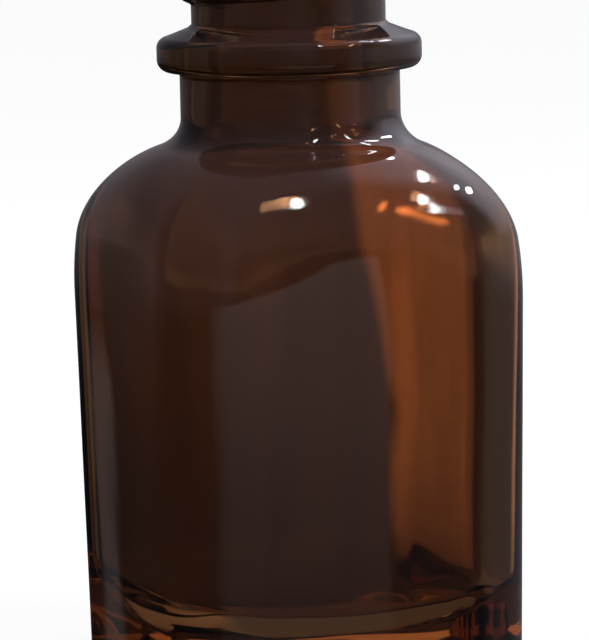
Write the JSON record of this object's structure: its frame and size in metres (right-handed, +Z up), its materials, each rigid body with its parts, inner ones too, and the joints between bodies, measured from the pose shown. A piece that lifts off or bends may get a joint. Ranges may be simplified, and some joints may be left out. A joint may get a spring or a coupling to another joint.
{
  "type": "apothecary bottle",
  "caption": "Square amber glass apothecary bottle with rounded corners, a sloping shoulder, a beaded neck and a ribbed screw cap with a liner.",
  "frame": {"origin": "centre of the base, on the plane that the bottle stands on", "axes": "+Z up along the neck, -Y out of the wide front face seen in the picture, +X to the right of it"},
  "size_m": [0.0496, 0.0496, 0.101],
  "materials": {
    "amber_glass": "deep amber soda-lime glass, fire-polished",
    "cap_plastic": "black moulded phenolic, satin",
    "pulpboard": "pressed pulpboard",
    "facing_paper": "waxed paper"
  },
  "bodies": {
    "bottle": {"glass_bottle": "amber_glass"},
    "facing": {"liner_facing": "facing_paper"},
    "wad": {"liner_wad": "pulpboard"},
    "cap": {"cap_shell": "cap_plastic"}
  },
  "joints": [
    {"name": "closure_lift", "type": "slide", "parent": "bottle", "child": "facing", "axis": [0, 0, 1], "range_m": [0, 0.04]},
    {"name": "cap_rise", "type": "slide", "parent": "facing", "child": "wad", "axis": [0, 0, 1], "range_m": [0, 0.0053]},
    {"name": "cap_turn", "type": "hinge", "parent": "wad", "child": "cap", "pos_m": [0, 0, 0.09755], "axis": [0, 0, 1], "range_deg": [0, 450]}
  ],
  "couplings": [
    {"joint": "cap_rise", "follows": "cap_turn", "m_per_rad": 0.00067375}
  ]
}
